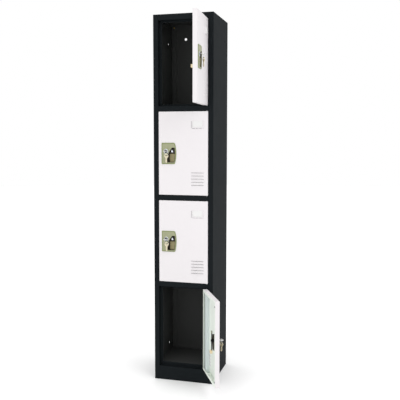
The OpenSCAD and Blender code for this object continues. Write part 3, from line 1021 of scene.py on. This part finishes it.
arm_piece = piece_of("latch_arm", arm)
combine(arm_piece, "DIFFERENCE", holes_along("y", [EYE_AT], EYE_HOLE_R, ARM_FRONT - 1, arm_back + 1))
on_each_door(arm_piece, "lock", BLACK_STEEL, ["lock_cam"])


def eye_bush(bm):
    """The flanged bush in the eye of the bar."""
    turned(bm, EYE_AT, "y", [
        (ARM_FRONT, 3.0), (ARM_FRONT, 4.5), (arm_back, 4.5), (arm_back, 6.2), (arm_back + 0.5, 6.3),
        (arm_back + 0.9, 5.8), (arm_back + 0.9, 3.4), (arm_back + 0.6, 3.0),
    ], 36, closed=True)


on_each_door(piece_of("eye_bush", eye_bush), "lock", HANDLE, ["lock_cam"])


def arm_nut(bm):
    washer = [(arm_back, ARM_WASHER_R), (arm_back + 0.5, ARM_WASHER_R), (arm_back + 0.7, 6.4)]
    turned(bm, LOCK_AT, "y", washer, 36)
    hexagon_nut(bm, LOCK_AT, cam_high.y - 0.4, arm_back + 0.6, ARM_NUT_W, turn=15)
    turned(bm, LOCK_AT, "y", [(arm_back + 1, STUD_R), (cam_high.y - 0.3, STUD_R), (cam_high.y, 2.6)], 28)


on_each_door(piece_of("latch_nut", arm_nut), "lock", BLACK_STEEL, ["lock_cam"])


def tip_block(bm):
    """The nylon block, rounded all over."""
    outline = box_ring((tip_low.x, tip_low.z), (tip_high.x, tip_high.z), 2.2)
    prism(bm, "y", outline, tip_low.y, tip_high.y, 1.2, 3)


tip = piece_of("latch_tip", tip_block)
TIP_WALL = 3.2
arm_slot = rectangle((LOCK_X - ARM_HALF - 0.1, cam_low.z - 0.1), (LOCK_X + ARM_HALF + 0.1, LOCK_Z), 0.4, 2)
hollow = rectangle((tip_low.x + TIP_WALL, tip_low.z + TIP_WALL),
                   (tip_high.x - TIP_WALL, tip_high.z - TIP_WALL), 1, 3)
combine(
    tip, "DIFFERENCE",
    lambda bm: prism(bm, "y", arm_slot, ARM_FRONT - 0.05, arm_back + 0.05),
    lambda bm: prism(bm, "y", hollow, tip_high.y - 2.2, tip_high.y + 1),
)
on_each_door(tip, "lock", NYLON, ["latch_tip"])

# ---------------------------------------------------------------- keys

BOW_R = 10.5
KEY_HALF_T = 1.2
BLADE_HALF = 4.0
BLADE_END = -34
SHOULDER = -11.9
SHOULDER_HALF = 4.8
BLADE_TIP_HALF = 1.2
NOTCHES = (-26, -20.5, -15.5)
NOTCH_HALF = 1.7
NOTCH_DEPTH = 1.2
NOTCH_FLAT = 0.5
HOLE_UP = 2.5
HOLE_R = 3.6
HOLE_SIDE = 2.6


def key_outline():
    """The bow, the shoulder, and the blade with its bitting on one side."""
    meet = math.degrees(math.asin(SHOULDER_HALF / BOW_R))
    points = arc((0, 0), BOW_R, -90 + meet, 270 - meet, 44)
    points += [(-SHOULDER_HALF, SHOULDER), (-BLADE_HALF, SHOULDER - 0.3), (-BLADE_HALF, BLADE_END + 4)]
    points += [(-BLADE_TIP_HALF, BLADE_END), (BLADE_TIP_HALF, BLADE_END), (BLADE_HALF, BLADE_END + 4)]
    for z in NOTCHES:
        points += [
            (BLADE_HALF, z - NOTCH_HALF), (BLADE_HALF - NOTCH_DEPTH, z - NOTCH_FLAT),
            (BLADE_HALF - NOTCH_DEPTH, z + NOTCH_FLAT), (BLADE_HALF, z + NOTCH_HALF),
        ]
    points += [(BLADE_HALF, SHOULDER - 0.3), (SHOULDER_HALF, SHOULDER)]
    return points


def key_mesh(name):
    """A flat key in the XZ plane, its hole up and the middle of its bow at the origin."""
    piece = piece_of(name, lambda bm: prism(bm, "y", key_outline(), -KEY_HALF_T, KEY_HALF_T, 0.25))

    def hole(bm):
        reach = HOLE_SIDE + HOLE_R
        outline = rectangle((-reach, HOLE_UP - HOLE_R), (reach, HOLE_UP + HOLE_R), HOLE_R, 8)
        prism(bm, "y", outline, -3, 3)

    def grooves(bm):
        """A groove along the blade and a sunk field on the bow, on both faces, which must not meet."""
        for side in (-1, 1):
            low, high = sorted((side * (KEY_HALF_T - 0.45), side * (KEY_HALF_T + 1)))
            prism(bm, "y", rectangle((-1.6, BLADE_END + 1.5), (0.2, SHOULDER + 1.8), 0.3, 2), low, high)
            low, high = sorted((side * (KEY_HALF_T - 0.25), side * (KEY_HALF_T + 1)))
            prism(bm, "y", rectangle((-5.2, -9.0), (5.2, -3.4), 1.6, 4), low, high)

    combine(piece, "DIFFERENCE", hole, grooves)
    return piece


key = key_mesh("key_in_lock")
level = Matrix.Rotation(math.radians(90), 4, "X")
key.data.transform(Matrix.Translation((LOCK_X, key_low.y + BOW_R, LOCK_Z)) @ level)
on_each_door(key, "lock", KEY_METAL, ["key"])

SPARE_TWIST = 35
# where the ring's wire crosses over, in turns
CROSS_START = 0.9
CROSS_SPAN = 0.2
ring_middle = (ring_low + ring_high) / 2
spare = key_mesh("second_key")
twist = Matrix.Rotation(math.radians(SPARE_TWIST), 4, "Z")
spare.data.transform(Matrix.Translation((ring_middle.x, ring_middle.y, spare_high.z - BOW_R)) @ twist)
on_each_door(spare, "keyring", SPARE_METAL, ["spare_key"])


def split_ring(bm):
    """A round wire ring of two turns, side by side, that crosses over once."""
    wire = (ring_high.y - ring_low.y) / 4
    radius = (ring_high.x - ring_low.x) / 2 - wire
    steps, sides = 128, 10
    rings = []
    for i in range(steps + 1):
        turn = 2 * i / steps
        angle = math.radians(200) + 2 * math.pi * turn
        cross = min(1.0, max(0.0, (turn - CROSS_START) / CROSS_SPAN))
        shift = wire * (2 * cross * cross * (3 - 2 * cross) - 1)
        ring = []
        for s in range(sides):
            a = 2 * math.pi * s / sides
            r = radius + wire * math.cos(a)
            ring.append((ring_middle.x + r * math.cos(angle), ring_middle.y + shift + wire * math.sin(a),
                         ring_middle.z + r * math.sin(angle)))
        rings.append(ring)
    loft(bm, rings)


on_each_door(piece_of("split_ring", split_ring), "keyring", KEY_METAL, ["key_ring"], angle=50)

# ---------------------------------------------------------------- label holder and hinges

HOLDER_LIP = 5
HOLDER_T = 0.8
CARD_IN = 2.0
CARD_FRONT = FRONT - 0.75
CARD_BACK = FRONT - 0.35


def holder(bm):
    near = (label_low.x + LABEL_SLOT, label_low.z + LABEL_SLOT * 0.5)
    outline = box_ring(near, (label_high.x, label_high.z), 1.6)
    levels = [(0, FRONT - 0.02)] + [(back, label_low.y + depth) for back, depth in reversed(quarter(1.1))]
    shell(bm, "y", outline, levels)


holder_piece = piece_of("label_holder", holder)
holder_in = LABEL_SLOT + HOLDER_T
card_room = rectangle((label_low.x + holder_in, label_low.z + holder_in),
                      (label_high.x - HOLDER_T, label_high.z + 5), 0.9, 3)
window = rectangle((label_low.x + HOLDER_LIP, label_low.z + HOLDER_LIP),
                   (label_high.x - HOLDER_LIP, label_high.z + 5), 1.2, 3)
combine(
    holder_piece, "DIFFERENCE",
    lambda bm: prism(bm, "y", card_room, label_low.y + HOLDER_T, FRONT + 1),
    lambda bm: prism(bm, "y", window, label_low.y - 1, label_low.y + 1.2),
)
on_each_door(holder_piece, "door", DOOR_PAINT, ["label_holder"])


def card(bm):
    near = (label_low.x + CARD_IN, label_low.z + CARD_IN)
    outline = rectangle(near, (label_high.x - 1.2, label_high.z - 1.5), 0.8, 3)
    prism(bm, "y", outline, CARD_FRONT, CARD_BACK)


on_each_door(piece_of("label_card", card), "door", CARD)

PIN_R = 2.5
PIN_TIP_R = 1.9
PIN_BOSS_R = 2.9
WASHER_R = 3.9
pin_middle = (pins_low + pins_high) / 2


def pins(bm):
    """The two hinge pins with their bosses, and the washer under the door."""
    at = (pin_middle.x, pin_middle.y)
    low, high = door_low.z, door_high.z
    for tip, edge, up in ((pins_low.z, low, 1), (pins_high.z, high, -1)):
        turned(bm, at, "z", [
            (tip, PIN_TIP_R), (tip + up * 0.6, PIN_R), (edge + up * 0.9, PIN_R), (edge + up, PIN_BOSS_R),
            (edge + up * 8.6, PIN_BOSS_R), (edge + up * 9, PIN_R),
        ], 28)
    turned(bm, at, "z", [
        (low - 1.9, WASHER_R - 0.2), (low - 1.7, WASHER_R), (low - 0.2, WASHER_R), (low, WASHER_R - 0.2),
    ], 28)


on_each_door(piece_of("hinge_pins", pins), "door", PIN_METAL, ["hinge_pins"])

# ---------------------------------------------------------------- carried-over CAD nodes

plinth = frame["nodes"]["plinth_frame"].data
plinth.materials.clear()
plinth.materials.append(BODY_PAINT)

# ---------------------------------------------------------------- floor, light and camera


def studio():
    floor = piece_of("floor", lambda bm: prism(bm, "z", circle((0, 0), FLOOR_R, 64), FLOOR_LOW, FLOOR_TOP))
    p = Paint("studio_floor")
    p.colour(p.blend(p.spread(p.noise(2, 3), 0, 1), (0.90, 0.90, 0.90), (0.93, 0.93, 0.93)))
    p.gloss(p.spread(p.noise(40, 3), 0.75, 0.9))
    p.bump((p.noise(300, 2), 0.05, 0.0002))
    floor.data.materials.append(p.material)

    world = bpy.data.worlds.new("studio")
    bpy.context.scene.world = world
    world.use_nodes = True
    sky = world.node_tree.nodes["Background"]
    sky.inputs["Color"].default_value = (1.0, 1.0, 1.0, 1)
    sky.inputs["Strength"].default_value = SKY

    for name, place, size, power in LAMPS:
        data = bpy.data.lights.new(name, "AREA")
        data.shape = "RECTANGLE"
        data.size, data.size_y = size
        data.energy = power
        add_lamp(data, place)
    high = bpy.data.lights.new("ceiling", "SUN")
    high.energy = CEILING
    high.angle = math.radians(60)
    add_lamp(high, (0.4, -0.8, 5))


def add_lamp(data, place):
    lamp = bpy.data.objects.new(data.name, data)
    bpy.context.scene.collection.objects.link(lamp)
    lamp.location = place
    lamp.rotation_euler = (LOOK_AT - Vector(place)).to_track_quat("-Z", "Y").to_euler()


# in metres; the floor's top lies just under the cabinet
FLOOR_R = 14.0
FLOOR_LOW = -0.03
FLOOR_TOP = -0.0005
LOOK_AT = Vector((0, 0, 0.95))
CEILING = 0.9
SKY = 1.0
LAMPS = (
    ("key", (3.2, -2.6, 3.2), (1.8, 1.8), 30),
    ("front", (-1.4, -4.2, 2.6), (2.4, 2.4), 15),
)
studio()

CAMERA_AT = (0.8900, -3.1062, 1.2172)
CAMERA_AZIMUTH = 15.22
CAMERA_DOWN = 5.40
CAMERA_ROLL = 0.06
CAMERA_LENS = 56.35


def photograph_camera():
    data = bpy.data.cameras.new("camera")
    data.sensor_width = 36
    data.lens = CAMERA_LENS
    camera = bpy.data.objects.new("camera", data)
    bpy.context.scene.collection.objects.link(camera)
    camera.matrix_world = (
        Matrix.Translation(CAMERA_AT)
        @ Matrix.Rotation(math.radians(CAMERA_AZIMUTH), 4, "Z")
        @ Matrix.Rotation(math.radians(90 - CAMERA_DOWN), 4, "X")
        @ Matrix.Rotation(math.radians(CAMERA_ROLL), 4, "Z")
    )
    bpy.context.scene.camera = camera


photograph_camera()
bpy.context.scene.view_settings.view_transform = "Standard"
